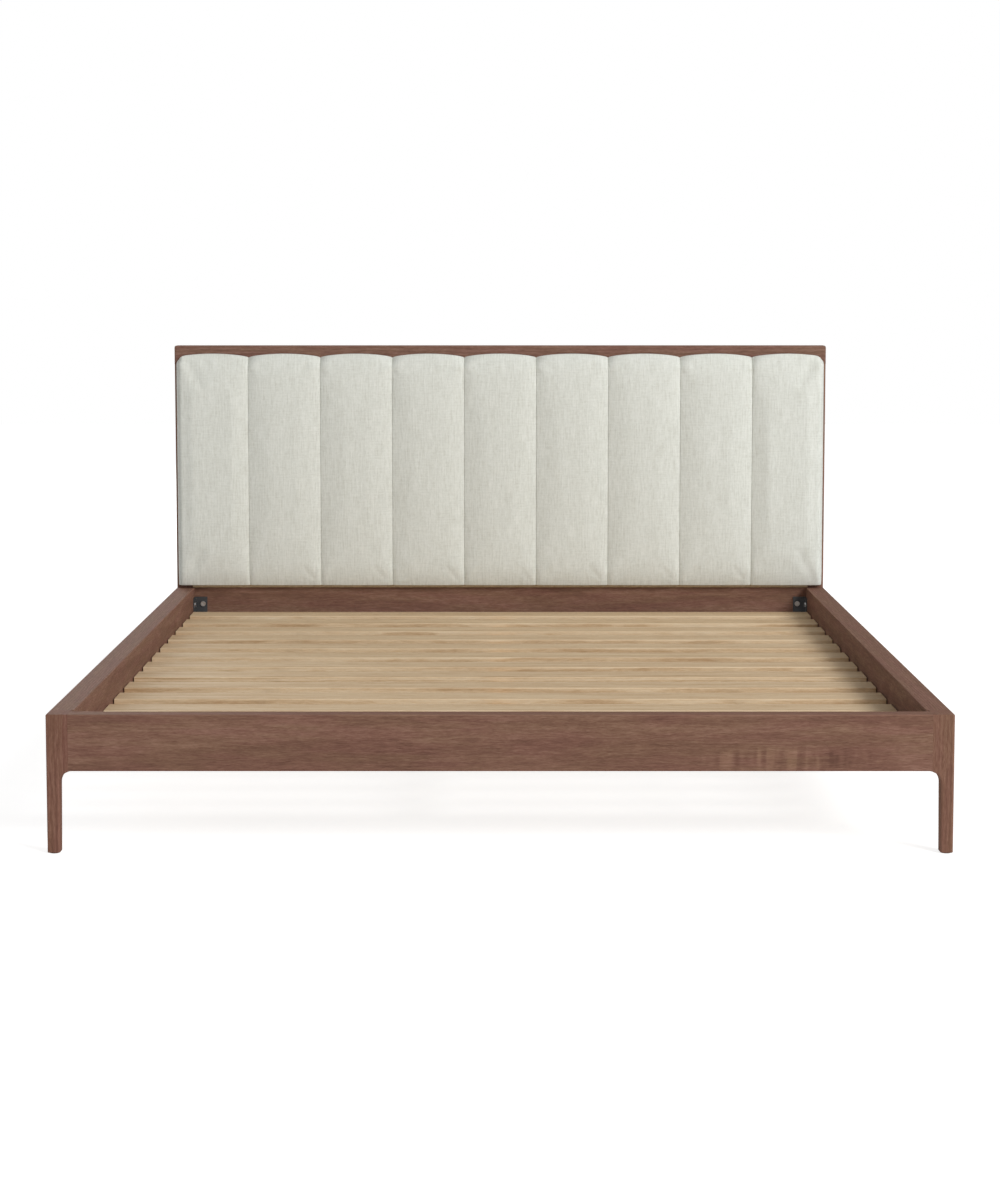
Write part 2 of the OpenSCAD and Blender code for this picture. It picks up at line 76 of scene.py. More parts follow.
class Maker:
    """Collects closed lofts into one mesh, with a value on each point for edge wear and a painted
    edge highlight.
    """

    def __init__(self):
        self.points = []
        self.faces = []
        self.wear = []

    def loft(self, rings, place):
        """rings: lists of (t, a, b, edge wear and painted highlight) with one length; place turns t,
        a, b into a point.
        """
        count = len(rings[0])
        first = len(self.points)
        for ring in rings:
            for t, a, b, wear in ring:
                self.points.append(place(t, a, b))
                self.wear.append(wear)
        for r in range(len(rings) - 1):
            low = first + r * count
            for k in range(count):
                n = (k + 1) % count
                self.faces.append((low + k, low + n, low + count + n, low + count + k))
        last = first + (len(rings) - 1) * count
        self.faces.append(tuple(range(first, first + count))[::-1])
        self.faces.append(tuple(range(last, last + count)))

    def build(self, name, material, nodes=(), body=ROOT, sharp=35):
        mesh = bpy.data.meshes.new(name)
        mesh.from_pydata(self.points, [], self.faces)
        layer = mesh.attributes.new("wear", "FLOAT", "POINT")
        layer.data.foreach_set("value", self.wear)
        work = bmesh.new()
        work.from_mesh(mesh)
        bmesh.ops.recalc_face_normals(work, faces=work.faces)
        soften(work, sharp)
        work.to_mesh(mesh)
        work.free()
        piece = register(bpy.data.objects.new(name, mesh), material, nodes, body)
        flat = piece.modifiers.new("flat_faces", "WEIGHTED_NORMAL")
        flat.weight = 100
        flat.keep_sharp = True
        return piece


def soften(work, angle):
    """Smooth shading with sharp edges where two faces meet at more than angle degrees."""
    for face in work.faces:
        face.smooth = True
    for edge in work.edges:
        if len(edge.link_faces) == 2:
            edge.smooth = edge.calc_face_angle(0) < math.radians(angle)


def register(piece, material, nodes, body=ROOT):
    """Links a piece, gives it its material, ties it to its body and hides the CAD nodes it stands
    for.
    """
    bpy.context.scene.collection.objects.link(piece)
    piece.data.materials.append(material)
    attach(piece, body)
    if nodes:
        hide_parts(*nodes)
    return piece


def section(t, low, high, radii, steps=5):
    """Rounded rectangle at t. radii go round from (high a, low b) by (high a, high b)."""
    corners = [
        (high[0], low[1], -1, 1, -90),
        (high[0], high[1], -1, -1, 0),
        (low[0], high[1], 1, -1, 90),
        (low[0], low[1], 1, 1, 180),
    ]
    ring = []
    for (a, b, in_a, in_b, start), r in zip(corners, radii):
        for k in range(steps + 1):
            angle = math.radians(start + 90 * k / steps)
            # the middle of each rounded edge is marked for wear and a painted highlight
            worn_and_highlit = math.sin(math.pi * k / steps) if r > WORN_AND_HIGHLIT_FROM else 0.0
            ring.append((
                t,
                a + in_a * r + r * math.cos(angle),
                b + in_b * r + r * math.sin(angle),
                worn_and_highlit,
            ))
    return ring


AXES = {
    "x": lambda t, a, b: Vector((t, a, b)),
    "y": lambda t, a, b: Vector((a, t, b)),
    "z": lambda t, a, b: Vector((a, b, t)),
}


def board(name, low, high, axis, material, slot, nodes, radius=EDGE, end=EASED):
    """Straight board along an axis with rounded long edges and eased ends."""
    i = "xyz".index(axis)
    a, b = [k for k in range(3) if k != i]
    steps = 3
    rings = []
    for side in (0, 1):
        for k in range(steps + 1) if side == 0 else range(steps, -1, -1):
            angle = math.pi / 2 * k / steps
            inset = end * (1 - math.sin(angle))
            back = end * (1 - math.cos(angle))
            t = low[i] + back if side == 0 else high[i] - back
            rings.append(section(
                t,
                (low[a] + inset, low[b] + inset),
                (high[a] - inset, high[b] - inset),
                [max(radius - inset, LEAST_EDGE)] * 4,
            ))
    maker = Maker()
    maker.loft(rings, AXES[axis])
    return maker.build(name, material, nodes)


# ---------------------------------------------------------------- node helpers


def add(tree, kind, inputs=None, **settings):
    """Adds a shader node. inputs maps a socket's name or number to a value or a socket."""
    made = tree.nodes.new("ShaderNode" + kind)
    for key, value in settings.items():
        setattr(made, key, value)
    for key, value in (inputs or {}).items():
        socket = made.inputs[key]
        if isinstance(value, bpy.types.NodeSocket):
            tree.links.new(value, socket)
        else:
            socket.default_value = value
    return made


def new_material(name):
    """Empty material. Returns it, its node tree and its shader."""
    material = bpy.data.materials.new(name)
    material.use_nodes = True
    tree = material.node_tree
    tree.nodes.clear()
    shader = tree.nodes.new("ShaderNodeBsdfPrincipled")
    output = tree.nodes.new("ShaderNodeOutputMaterial")
    tree.links.new(shader.outputs[0], output.inputs["Surface"])
    return material, tree, shader


def math_node(tree, operation, a, b=0.5, third=0.0):
    """Adds a Math node and returns its result."""
    return add(tree, "Math", {0: a, 1: b, 2: third}, operation=operation).outputs[0]


def stretched(tree, source, scale, shift=(0, 0, 0)):
    """Scales and shifts a vector."""
    return add(tree, "Mapping", {"Vector": source, "Scale": scale, "Location": shift}).outputs[0]


def noise_at(tree, vector, scale=1.0, detail=3.0, roughness=0.5):
    """Noise around 0.5."""
    return add(tree, "TexNoise", {
        "Vector": vector, "Scale": scale, "Detail": detail, "Roughness": roughness,
    }).outputs["Fac"]


def ramp(tree, value, stops):
    """Colour ramp through (position, (r, g, b)) or (position, grey) stops."""
    made = add(tree, "ValToRGB", {"Fac": value})
    elements = made.color_ramp.elements
    while len(elements) < len(stops):
        elements.new(0.5)
    for element, (place, colour) in zip(elements, stops):
        element.position = place
        if isinstance(colour, (int, float)):
            colour = (colour,) * 3
        element.color = (*colour, 1.0)
    return made.outputs["Color"]


def mix(tree, factor, a, b, blend="MIX"):
    """Mixes two colours, each a socket or (r, g, b)."""
    made = add(tree, "Mix", data_type="RGBA", blend_type=blend)
    for name, value in (("Factor_Float", factor), ("A_Color", a), ("B_Color", b)):
        socket = next(s for s in made.inputs if s.identifier == name)
        if isinstance(value, bpy.types.NodeSocket):
            tree.links.new(value, socket)
        elif name == "Factor_Float":
            socket.default_value = value
        else:
            socket.default_value = (*value, 1.0)
    return next(s for s in made.outputs if s.identifier == "Result_Color")


def bump(tree, height, strength, distance):
    inputs = {"Height": height, "Strength": strength, "Distance": distance}
    return add(tree, "Bump", inputs).outputs[0]


def along_grain(tree, axis, seed):
    """Object coordinates turned so that the grain runs along x, shifted by a seed."""
    place = add(tree, "TexCoord").outputs["Object"]
    parts = add(tree, "SeparateXYZ", {0: place}).outputs
    order = {"x": (0, 1, 2), "y": (1, 0, 2), "z": (2, 0, 1)}[axis]
    turned = add(tree, "CombineXYZ", {k: parts[i] for k, i in enumerate(order)}).outputs[0]
    rng = random.Random(seed)
    return add(tree, "VectorMath", {
        0: turned, 1: (rng.uniform(-9, 9), rng.uniform(0, 0.02), rng.uniform(0, 0.02)),
    }, operation="ADD").outputs[0]


# ---------------------------------------------------------------- materials


def weighted(tree, parts, middle=0.5):
    """Sum of values, each times its weight, around a middle value."""
    total = middle - sum(weight * centre for _, weight, centre in parts)
    for value, weight, _ in parts:
        total = math_node(tree, "MULTIPLY_ADD", value, weight, third=total)
    return total


# scales of the wood's noises, along and across the grain
SWAY = (1.1, 5)
RIPPLE = (7, 24)
STREAKS = (21, 230)
BANDS = (3.2, 62)
FIBRE = (70, 620)
DRIFT = (5, 42)
VESSELS = (70, 1500)
SWAY_LIFT = 22 * MM
RIPPLE_LIFT = 7 * MM
GOLDEN_SHARE = 3.5


def grain(tree, vector, scales, shift=(0, 0, 0), **more):
    """Noise that is long along the grain."""
    return noise_at(tree, stretched(tree, vector, (scales[0], scales[1], scales[1]), shift), **more)


def timber(name, axis, seed, tones, heart=(0.16, -0.22), ring=7.0 * MM,
           weights=(0.20, 0.62, 0.18, 0.46), pores=0.35, rough=(0.66, 0.82),
           tint=None, figure=None):
    """Solid wood: rings round a heart beside the board, streaks, fibre, pores and a tint.

    weights are those of the rings, the streaks, the broad bands and the fibre.
    figure is the middle and reach of a patch with curly grain, in the object's coordinates.
    """
    dark, mid, light = tones
    material, tree, shader = new_material(name)
    place = along_grain(tree, axis, seed)
    sway = grain(tree, place, SWAY, detail=2.0)
    ripple = grain(tree, place, RIPPLE, detail=3.0)
    lift = math_node(tree, "MULTIPLY", sway, SWAY_LIFT)
    lift = math_node(tree, "MULTIPLY_ADD", ripple, RIPPLE_LIFT, third=lift)
    bent = add(tree, "VectorMath", {
        0: place, 1: add(tree, "CombineXYZ", {1: lift, 2: lift}).outputs[0],
    }, operation="ADD").outputs[0]
    parts = add(tree, "SeparateXYZ", {0: bent}).outputs
    across = [math_node(tree, "ADD", parts[k], heart[k - 1]) for k in (1, 2)]
    squared = [math_node(tree, "MULTIPLY", a, a) for a in across]
    radius = math_node(tree, "SQRT", math_node(tree, "ADD", *squared))
    year = math_node(tree, "FRACT", math_node(tree, "DIVIDE", radius, ring))
    rings = ramp(tree, year, [(0.0, 0.4), (0.12, 0.75), (0.5, 0.6), (0.84, 0.2), (1.0, 0.4)])
    streaks = grain(tree, bent, STREAKS, detail=5.0, roughness=0.68)
    bands = grain(tree, bent, BANDS, detail=2.0)
    fibre = grain(tree, bent, FIBRE, detail=3.0, roughness=0.6)
    tone = weighted(tree, [
        (rings, weights[0], 0.52), (streaks, weights[1], 0.5),
        (bands, weights[2], 0.5), (fibre, weights[3], 0.5),
    ])
    waves = curl(tree, *figure) if figure else 0.0
    tone = math_node(tree, "ADD", tone, waves)
    colour = ramp(tree, tone, [(0.28, dark), (0.5, mid), (0.74, light)])
    if figure:
        colour = mix(tree, math_node(tree, "MULTIPLY", waves, GOLDEN_SHARE), colour, GOLDEN)
    if tint:
        drift = grain(tree, bent, DRIFT, (4, 0, 0), detail=3.0)
        colour = mix(tree, ramp(tree, drift, [(0.38, 0.0), (0.62, 1.0)]), colour,
                     mix(tree, 1.0, colour, tint, "MULTIPLY"))
    vessel = grain(tree, bent, VESSELS, detail=1.0)
    vessel = ramp(tree, vessel, [(0.60, 0.0), (0.70, 1.0)])
    deep = math_node(tree, "MULTIPLY", vessel, pores)
    colour = mix(tree, deep, colour, tuple(c * 0.5 for c in dark))
    # lighter rounded edges: partly wear, partly a painted highlight where the rounding catches light
    worn_and_highlit = add(tree, "Attribute", attribute_name="wear").outputs["Fac"]
    worn_and_highlit = math_node(tree, "MULTIPLY", worn_and_highlit, math_node(tree, "MULTIPLY", ripple, 0.5))
    colour = mix(tree, worn_and_highlit, colour, tuple(min(c * 1.2, 1.0) for c in light))
    tree.links.new(colour, shader.inputs["Base Color"])
    dull = math_node(tree, "MULTIPLY_ADD", streaks, rough[1] - rough[0], third=rough[0])
    dull = math_node(tree, "MULTIPLY_ADD", deep, 0.3, third=dull)
    tree.links.new(dull, shader.inputs["Roughness"])
    shader.inputs["Specular IOR Level"].default_value = 0.08
    height = math_node(tree, "SUBTRACT", math_node(tree, "MULTIPLY", fibre, 0.35), vessel)
    tree.links.new(bump(tree, height, 0.35, 0.12 * MM), shader.inputs["Normal"])
    return material


CURL_BARS = (56, 8, 6)
CURL_BREAKS = (10, 8, 9)
CURL_EVEN = 0.505  # level of the bars that leaves the tone as it is
CURL_GAIN = 0.85
CURL_MOST = 0.075


def curl(tree, middle, reach):
    """Change of tone in a patch where the fibre curls up and down across the board."""
    place = add(tree, "TexCoord").outputs["Object"]
    away = add(tree, "VectorMath", {0: place, 1: middle}, operation="SUBTRACT").outputs[0]
    away = add(tree, "VectorMath", {0: away, 1: reach}, operation="DIVIDE").outputs[0]
    away = add(tree, "VectorMath", {0: away}, operation="LENGTH").outputs["Value"]
    inside = ramp(tree, away, [(0.45, 1.0), (1.0, 0.0)])
    waves = noise_at(tree, stretched(tree, place, CURL_BARS), detail=1.0, roughness=0.35)
    broken = noise_at(tree, stretched(tree, place, CURL_BREAKS), detail=1.0)
    waves = math_node(tree, "SUBTRACT", waves, CURL_EVEN)
    waves = math_node(tree, "MULTIPLY", waves, CURL_GAIN)
    waves = math_node(tree, "MINIMUM", waves, CURL_MOST)
    waves = math_node(tree, "MULTIPLY", waves, ramp(tree, broken, [(0.36, 0.3), (0.56, 1.0)]))
    return math_node(tree, "MULTIPLY", waves, inside)


# linear colours: the dark, middle and light tone of a wood, and casts over the walnut
WALNUT = ((0.120, 0.057, 0.042), (0.189, 0.095, 0.068), (0.280, 0.157, 0.117))
OLIVE = (1.0, 1.08, 1.0)
GOLDEN = (0.30, 0.175, 0.105)
PALE = ((0.46, 0.30, 0.165), (0.64, 0.475, 0.30), (0.74, 0.60, 0.42))
PINE = ((0.43, 0.25, 0.115), (0.61, 0.43, 0.25), (0.70, 0.54, 0.35))


def walnut(name, axis, seed, cast=(1.0, 1.0, 1.0), **more):
    """Walnut timber. cast scales this board's colours against the rest."""
    tones = [tuple(c * share for c, share in zip(tone, cast)) for tone in WALNUT]
    return timber(name, axis, seed, tones, tint=OLIVE, **more)


THREAD_PITCH = 1.15 * MM


def linen(name):
    """Ivory slub weave that follows the lengths kept in the pads' weave attribute."""
    material, tree, shader = new_material(name)
    cloth = add(tree, "Attribute", attribute_name="weave").outputs["Vector"]
    parts = add(tree, "SeparateXYZ", {0: cloth}).outputs
    drift = noise_at(tree, stretched(tree, cloth, (45, 45, 1)), detail=2.0)
    drift = math_node(tree, "MULTIPLY", drift, 1.6)
    threads = []
    for k in (0, 1):
        turn = math_node(tree, "MULTIPLY", parts[k], 2 * math.pi / THREAD_PITCH)
        turn = math_node(tree, "ADD", turn, math_node(tree, "MULTIPLY", drift, 6.0))
        wave = math_node(tree, "SINE", turn, 0.0)
        threads.append(math_node(tree, "MULTIPLY", math_node(tree, "ADD", wave, 1.0), 0.5))
    over = math_node(tree, "MULTIPLY", threads[0], threads[1])
    thread_gap_shade = math_node(tree, "SUBTRACT", 1.0, math_node(tree, "MAXIMUM", threads[0], threads[1]))
    slub_up = noise_at(tree, stretched(tree, cloth, (210, 19, 1)), detail=4.0, roughness=0.68)
    slub_side = noise_at(tree, stretched(tree, cloth, (24, 230, 1), (3, 5, 0)),
                         detail=4.0, roughness=0.68)
    fleck = noise_at(tree, stretched(tree, cloth, (130, 110, 1), (8, 1, 0)),
                     detail=4.0, roughness=0.7)
    cloud = noise_at(tree, stretched(tree, cloth, (26, 7, 1), (2, 9, 0)), detail=2.0)
    tone = weighted(tree, [
        (slub_up, 0.62, 0.5), (slub_side, 0.32, 0.5), (fleck, 0.34, 0.5), (cloud, 0.15, 0.5),
    ])
    colour = ramp(tree, tone, [
        (0.3, (0.600, 0.604, 0.540)),
        (0.50, (0.722, 0.738, 0.680)),
        (0.7, (0.830, 0.842, 0.790)),
    ])
    # painted shade: the gaps between the threads are darkened
    colour = mix(tree, math_node(tree, "MULTIPLY", thread_gap_shade, 0.2), colour, (0.44, 0.44, 0.38))
    tree.links.new(colour, shader.inputs["Base Color"])
    shader.inputs["Roughness"].default_value = 0.92
    shader.inputs["Specular IOR Level"].default_value = 0.25
    shader.inputs["Sheen Weight"].default_value = 0.18
    shader.inputs["Sheen Roughness"].default_value = 0.45
    height = math_node(tree, "ADD", over, math_node(tree, "MULTIPLY", slub_up, 0.8))
    height = math_node(tree, "ADD", height, math_node(tree, "MULTIPLY", slub_side, 0.6))
    tree.links.new(bump(tree, height, 0.5, 0.28 * MM), shader.inputs["Normal"])
    return material


def metal(name, colour, rough, speckle, metallic=1.0):
    """Zinc plate or powder coat, by its metallic share, with a fine uneven surface."""
    material, tree, shader = new_material(name)
    place = add(tree, "TexCoord").outputs["Object"]
    cloud = noise_at(tree, stretched(tree, place, (60, 60, 60)), detail=4.0)
    fine = noise_at(tree, stretched(tree, place, (speckle,) * 3), detail=2.0)
    deep = tuple(c * 0.82 for c in colour)
    bright = tuple(min(c * 1.12, 1) for c in colour)
    tree.links.new(ramp(tree, cloud, [(0.3, deep), (0.7, bright)]), shader.inputs["Base Color"])
    shader.inputs["Metallic"].default_value = metallic
    dull = math_node(tree, "ADD", math_node(tree, "MULTIPLY", cloud, 0.16), rough - 0.08)
    tree.links.new(dull, shader.inputs["Roughness"])
    tree.links.new(bump(tree, fine, 0.25, 0.08 * MM), shader.inputs["Normal"])
    return material


PLY_T = 3 * MM
CHEVRON = 3 * MM
RIB_PITCH = 2.2 * MM


def plywood(name):
    """Birch face across x and z, and its plies through y."""
    material, tree, shader = new_material(name)
    place = add(tree, "TexCoord").outputs["Object"]
    parts = add(tree, "SeparateXYZ", {0: place}).outputs
    ply = math_node(tree, "FRACT", math_node(tree, "DIVIDE", parts[1], PLY_T))
    plies = ramp(tree, ply, [(0.0, 0.75), (0.46, 1.0), (0.54, 0.8), (1.0, 0.72)])
    streaks = noise_at(tree, stretched(tree, place, (90, 90, 4)), detail=5.0, roughness=0.6)
    face = ramp(tree, streaks, [(0.3, (0.50, 0.36, 0.21)), (0.7, (0.66, 0.51, 0.33))])
    tree.links.new(mix(tree, 0.5, face, plies, "MULTIPLY"), shader.inputs["Base Color"])
    shader.inputs["Roughness"].default_value = 0.7
    tree.links.new(bump(tree, streaks, 0.2, 0.1 * MM), shader.inputs["Normal"])
    return material


def webbing(name):
    """Black tape with a chevron rib along it, painted darker in the rib's furrows and lighter on its
    ridges.
    """
    material, tree, shader = new_material(name)
    place = add(tree, "TexCoord").outputs["Object"]
    parts = add(tree, "SeparateXYZ", {0: place}).outputs
    zigzag = math_node(tree, "PINGPONG", parts[0], CHEVRON)
    turn = math_node(tree, "ADD", zigzag, parts[1])
    turn = math_node(tree, "MULTIPLY", turn, 2 * math.pi / RIB_PITCH)
    rib = math_node(tree, "SINE", turn, 0.0)
    lint = noise_at(tree, stretched(tree, place, (900, 300, 900)), detail=3.0)
    # painted shade and highlight: the colour follows the rib's height
    tone = math_node(tree, "ADD", math_node(tree, "MULTIPLY", rib, 0.25), lint)
    tree.links.new(ramp(tree, tone, [(0.2, 0.012), (0.8, 0.07)]), shader.inputs["Base Color"])
    shader.inputs["Roughness"].default_value = 0.85
    tree.links.new(bump(tree, rib, 0.5, 0.25 * MM), shader.inputs["Normal"])
    return material


def moulded(name):
    """Dark brown nylon with a fine spark texture."""
    material, tree, shader = new_material(name)
    place = add(tree, "TexCoord").outputs["Object"]
    fine = noise_at(tree, place, 1800, detail=2.0)
    brown = ramp(tree, fine, [(0.3, (0.060, 0.036, 0.028)), (0.7, (0.085, 0.052, 0.040))])
    tree.links.new(brown, shader.inputs["Base Color"])
    shader.inputs["Roughness"].default_value = 0.55
    tree.links.new(bump(tree, fine, 0.3, 0.06 * MM), shader.inputs["Normal"])
    return material


FABRIC = linen("ivory_linen")
STEEL = metal("zinc_plate", (0.60, 0.61, 0.62), 0.34, 700)
COATED = metal("black_powder_coat", (0.035, 0.036, 0.038), 0.55, 1500, metallic=0.0)
PLY = plywood("birch_ply")
TAPE = webbing("black_webbing")
NYLON = moulded("brown_nylon")

# ---------------------------------------------------------------- places from the frame

post_low, post_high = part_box("front_post_left")
rear_low, rear_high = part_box("rear_post_left")
OUT = -post_low.x
JOINT = -post_high.x
FOOT_Y = post_low.y
RAIL_TOP = post_high.z
GLIDE_TOP = post_low.z
POST_W = post_high.x - post_low.x
HEAD_Y = rear_low.y
BACK_Y = rear_high.y
RAIL_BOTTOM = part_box("side_rail_left")[0].z
# the foot rail's curly patch, and how far it reaches each way
CURLY_MIDDLE = (0.66, FOOT_Y, 0.218)
CURLY_REACH = (0.23, 0.06, 0.034)


def shoulder_rise(run, swell):
    """Height of the shoulder's quarter ellipse, 0 to 1, at a run from the leg."""
    return math.sqrt(max(0.0, 1 - (1 - min(run / swell, 1.0)) ** 2))


def shoulder_run(z, full, reach):
    """How wide the leg is at height z where its shoulder swells to full plus reach."""
    drop = (RAIL_BOTTOM - z) / SHOULDER_H
    if drop >= 1:
        return LEG
    s = max(0.0, 1 - max(drop, 0.0))
    return min(LEG + (full + reach - LEG) * (1 - math.sqrt(max(0.0, 1 - s * s))), full)


# ---------------------------------------------------------------- walnut pieces


def post(name, sign_x, sign_y, depth, top, material, open_top):
    """Corner post turning into its leg. a runs inwards across the bed, b inwards along it."""
    shoulder_z = RAIL_BOTTOM - SHOULDER_H
    heights = [GLIDE_TOP + FOOT_EDGE * (1 - math.cos(math.radians(a))) for a in ARC]
    heights += [GLIDE_TOP + (shoulder_z - GLIDE_TOP) * k / 4 for k in (1, 2, 3, 4)]
    heights += [RAIL_BOTTOM - SHOULDER_H * (1 - math.sin(math.radians(a))) for a in range(5, 91, 5)]
    heights += [RAIL_BOTTOM + 1.5 * MM, RAIL_BOTTOM + 12 * MM]
    top_r = EDGE if open_top else EASED
    heights += [top - top_r + top_r * math.sin(math.radians(a)) for a in ARC]
    rings = []
    for z in heights:
        out_inset = in_inset = 0.0
        if z < GLIDE_TOP + FOOT_EDGE:
            below = GLIDE_TOP + FOOT_EDGE - z
            out_inset = in_inset = FOOT_EDGE - math.sqrt(max(0.0, FOOT_EDGE ** 2 - below ** 2))
        if z > top - top_r:
            cap = top_r - math.sqrt(max(0.0, top_r ** 2 - (z - top + top_r) ** 2))
            out_inset = cap
            in_inset = min(cap, EASED)
        if z <= shoulder_z:
            lean = LEG_TAPER * (shoulder_z - z) / (shoulder_z - GLIDE_TOP)
            wide = deep = LEG - lean
        else:
            wide = shoulder_run(z, POST_W, SHOULDER_REACH)
            deep = shoulder_run(z, depth, 0.0)
        blend = min(max((z - RAIL_BOTTOM) / JOINT_FADE + JOINT_FADE_FROM, 0.0), 1.0)
        joint = UPRIGHT_EDGE * (1 - blend) + EASED * blend
        inner = INNER_EDGE * (1 - blend) + EASED * blend
        radii = (joint, inner, UPRIGHT_EDGE, UPRIGHT_EDGE)
        rings.append(section(
            z,
            (out_inset, out_inset),
            (wide - in_inset, deep - in_inset),
            [max(r - out_inset * 0.6, EASED) for r in radii],
        ))
    edge_y = FOOT_Y if sign_y < 0 else BACK_Y

    def place(t, a, b):
        return Vector((sign_x * (OUT - a), edge_y - sign_y * b, t))

    maker = Maker()
    maker.loft(rings, place)
    return maker.build(name + "_shaped", material, [name])


def end_rail(name, y_low, y_high, material):
    """Rail between two posts whose underside flows into their shoulders."""
    swell = POST_W + SHOULDER_REACH - LEG
    half = JOINT - HAIRLINE
    runs = [0.0, EASED * 0.3, EASED]
    runs += [SHOULDER_REACH * k / 8 for k in range(1, 9)]
    runs += [0.05, 0.15, 0.30]  # the straight part, in metres from the joint
    offsets = sorted(set(runs))
    stations = [-half + r for r in offsets] + [0.0] + [half - r for r in reversed(offsets)]
    rings = []
    for x in stations:
        from_joint = half - abs(x)
        inset = EASED - math.sqrt(max(0.0, EASED ** 2 - max(0.0, EASED - from_joint) ** 2))
        run = POST_W + from_joint - LEG
        drop = SHOULDER_H * (1 - shoulder_rise(run, swell)) if run < swell else 0.0
        rings.append(section(
            x,
            (y_low + inset, RAIL_BOTTOM - drop + inset),
            (y_high - inset, RAIL_TOP - inset),
            [max(EDGE - inset, LEAST_EDGE)] * 4,
        ))
    maker = Maker()
    maker.loft(rings, AXES["x"])
    return maker.build(name + "_board", material, [name])


def side_rail(side, sign, material):
    """Rail from post to post, with the lip that laps past the front post on the inside."""
    low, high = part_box("side_rail_" + side)
    start = post_high.y + HAIRLINE
    stop = HEAD_Y - HAIRLINE
    maker = Maker()
    rings = []
    ends = [(start, EASED), (start + EASED * 0.3, 0.3 * EASED), (start + EASED, 0.0)]
    ends += [(start + (stop - start) * k / 4, 0.0) for k in (1, 2, 3)]
    ends += [(stop - EASED, 0.0), (stop - EASED * 0.3, 0.3 * EASED), (stop, EASED)]
    for y, inset in ends:
        rings.append(section(
            y,
            (low.x + inset, low.z + inset),
            (high.x - inset, high.z - inset),
            [max(EDGE - inset, LEAST_EDGE)] * 4,
        ))
    maker.loft(rings, AXES["y"])
    inner = low.x if sign > 0 else high.x
    lip = (high.x - low.x) - POST_W
    edges = sorted((inner, inner + sign * lip * LIP_SHARE))
    rings = [
        section(y, (edges[0], low.z + EDGE), (edges[1], high.z - EDGE * 0.6), [EASED] * 4)
        for y in (low.y + HAIRLINE, start + 2 * EDGE)
    ]
    maker.loft(rings, AXES["y"])
    return maker.build(f"side_rail_{side}_board", material, [f"side_rail_{side}"])


def top_rail(material):
    """Headboard's top rail with its two outer corners rounded."""
    low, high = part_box("head_top_rail")
    rings = []
    steps = 6
    angles = [math.pi / 2 * k / steps for k in range(steps + 1)]
    curve = [(TOP_CORNER * (1 - math.sin(a)), TOP_CORNER * (1 - math.cos(a))) for a in angles]
    stations = [(low.x + back, fall) for back, fall in reversed(curve)]
    stations += [(0.0, 0.0)]
    stations += [(high.x - back, fall) for back, fall in curve]
    for x, fall in stations:
        side = min(fall, EDGE) * 0.8
        rings.append(section(
            x,
            (low.y + side, low.z + HAIRLINE),
            (high.y - side, high.z - fall),
            [EASED, EDGE - side * 0.5, EDGE - side * 0.5, EASED],
        ))
    maker = Maker()
    maker.loft(rings, AXES["x"])
    return maker.build("head_top_rail_board", material, ["head_top_rail"])


# the front posts get darker casts than the other walnut, the left one darkest, and the top rail a
# lighter one
for side, sign, cast in (("left", -1, (0.93, 0.86, 0.86)), ("right", 1, (0.97, 0.94, 0.92))):
    post(f"front_post_{side}", sign, -1, post_high.y - FOOT_Y, RAIL_TOP,
         walnut(f"walnut_front_post_{side}", "z", 11 + sign, cast, heart=(0.10, 0.09)), True)
    post(f"rear_post_{side}", sign, 1, BACK_Y - HEAD_Y, rear_high.z - HAIRLINE,
         walnut(f"walnut_rear_post_{side}", "z", 21 + sign, heart=(0.12, 0.07)), False)
    side_rail(side, sign, walnut(f"walnut_side_rail_{side}", "y", 31 + sign))

end_rail("foot_rail", FOOT_Y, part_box("foot_rail")[1].y,
         walnut("walnut_foot_rail", "x", 3, figure=(CURLY_MIDDLE, CURLY_REACH)))
end_rail("head_bottom_rail", HEAD_Y, BACK_Y, walnut("walnut_head_rail", "x", 5))
top_rail(walnut("walnut_top_rail", "x", 8, (1.07, 1.11, 1.17), heart=(0.3, -0.05)))

# ---------------------------------------------------------------- channel pads

PADS = sorted((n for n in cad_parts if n.startswith("channel_pad_")),
              key=lambda n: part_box(n)[0].x)
PAD_SPACING = 7.5 * MM  # between the lattice's points
PAD_WALL_STEPS = 4
BUNCHING = 0.6
CROWN_SHARE = 0.89  # shares of the pad's depth, before it is puffed
SEAM_SHARE = 0.80
TURN = 0.13  # how much deeper the cloth turns in at the seam itself
TURN_POWER = 16
PAD_PRESS = 0.2 * MM  # each pad is this much wider than its place, to press on the next
PAD_TOP_SLACK = 0.5 * MM  # kept free under the top rail
CORNER_R = 27 * MM  # top outer corner of the first and last pad
ARCH = 9.6 * MM  # fall of a pad's top from its middle to the seam
ARCH_CORNER = 2.4 * MM  # further fall just beside the seam
CORNER_POWER = 12
ARCH_POWER = 6  # the arch fades out downwards
ROLL_TOP = ((120 * MM, 0.12), (38 * MM, 0.26))  # reach and fall of the bends at each edge
ROLL_FOOT = ((60 * MM, 0.40),)
ROLL_SIDE = ((16 * MM, 0.60),)
PINCH = (42 * MM, 0.80)  # reach and fall where two pads meet at the top
PINCH_POWER = 7
OUTER_FLAT = 0.75  # the outer half of the first and last pad curves less
SIDE_EASE = 120 * MM  # within this of their outer side they puff less and less
WEAVE_SPREAD = 1.04  # length of the cloth over the curve against its width
SEAM_CREASE = 0.6
PUFF_PRESSURE = 4.0
SIM_FRAMES = 20
SIM_CAP = 9 * MM  # the furthest that the simulation may move a point
UNEVEN = 0.5 * MM  # height of the small rolls
UNEVEN_SCALE = (14, 5)


def across(s):
    """Share of the depth across a channel: an arc that dips into each seam, s from -1 to 1."""
    return SEAM_SHARE - TURN * abs(s) ** TURN_POWER + (CROWN_SHARE - SEAM_SHARE) * (1 - s * s)


